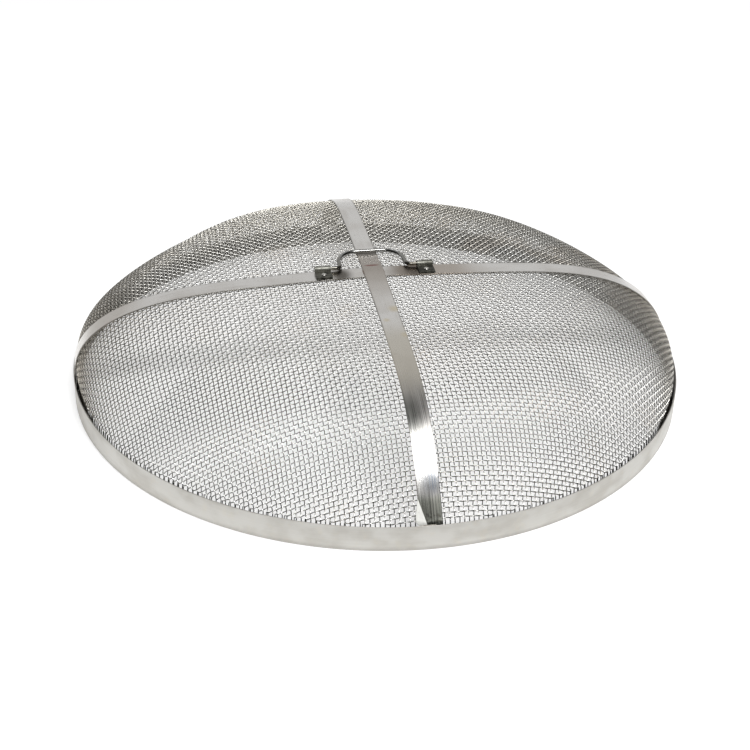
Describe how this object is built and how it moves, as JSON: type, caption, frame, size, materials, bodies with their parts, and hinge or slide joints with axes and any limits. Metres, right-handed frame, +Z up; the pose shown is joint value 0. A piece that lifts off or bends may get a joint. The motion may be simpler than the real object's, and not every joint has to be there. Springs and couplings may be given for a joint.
{
  "type": "fire pit spark screen",
  "caption": "Domed woven-wire spark screen for a round fire pit: mesh dome in a flat rim hoop, crossed straps and a swinging wire bail handle.",
  "frame": {"origin": "centre of the rim hoop's bottom edge, on the surface that the screen stands on", "axes": "+Z up out of the dome's crown; +X along the left-right strap, which is also the bail's pivot direction; +Y along the front-back strap, towards the side on which the folded bail lies"},
  "size_m": [0.7619, 0.762, 0.1508],
  "materials": {
    "rim_steel": "satin rolled stainless sheet with faint cloudy heat tint",
    "mesh_wire": "drawn stainless wire, plain weave, bright where it catches light",
    "strap_steel": "rolled stainless strip with fine lengthwise brushing and brown heat tint at the crossing",
    "clip_steel": "dull folded steel sheet",
    "rivet_steel": "dull round-head rivet",
    "bail_wire": "polished drawn wire",
    "weld": "heat-tinted weld metal"
  },
  "bodies": {
    "screen": {"rim_band": "rim_steel", "rim_seam_weld": "weld", "clamp_ring": "rim_steel", "wire_mesh": "mesh_wire", "strap_left_right": "strap_steel", "strap_front_back": "strap_steel", "strap_foot_welds": "weld", "crossing_welds": "weld", "clip_left": "clip_steel", "clip_right": "clip_steel", "rivet_left": "rivet_steel", "rivet_right": "rivet_steel"},
    "bail": {"handle_bail": "bail_wire"}
  },
  "joints": [
    {"name": "bail_swing", "type": "hinge", "parent": "screen", "child": "bail", "pos_m": [-0.003, 0.0092, 0.14705], "axis": [1, 0, 0], "range_deg": [0, 180]}
  ]
}
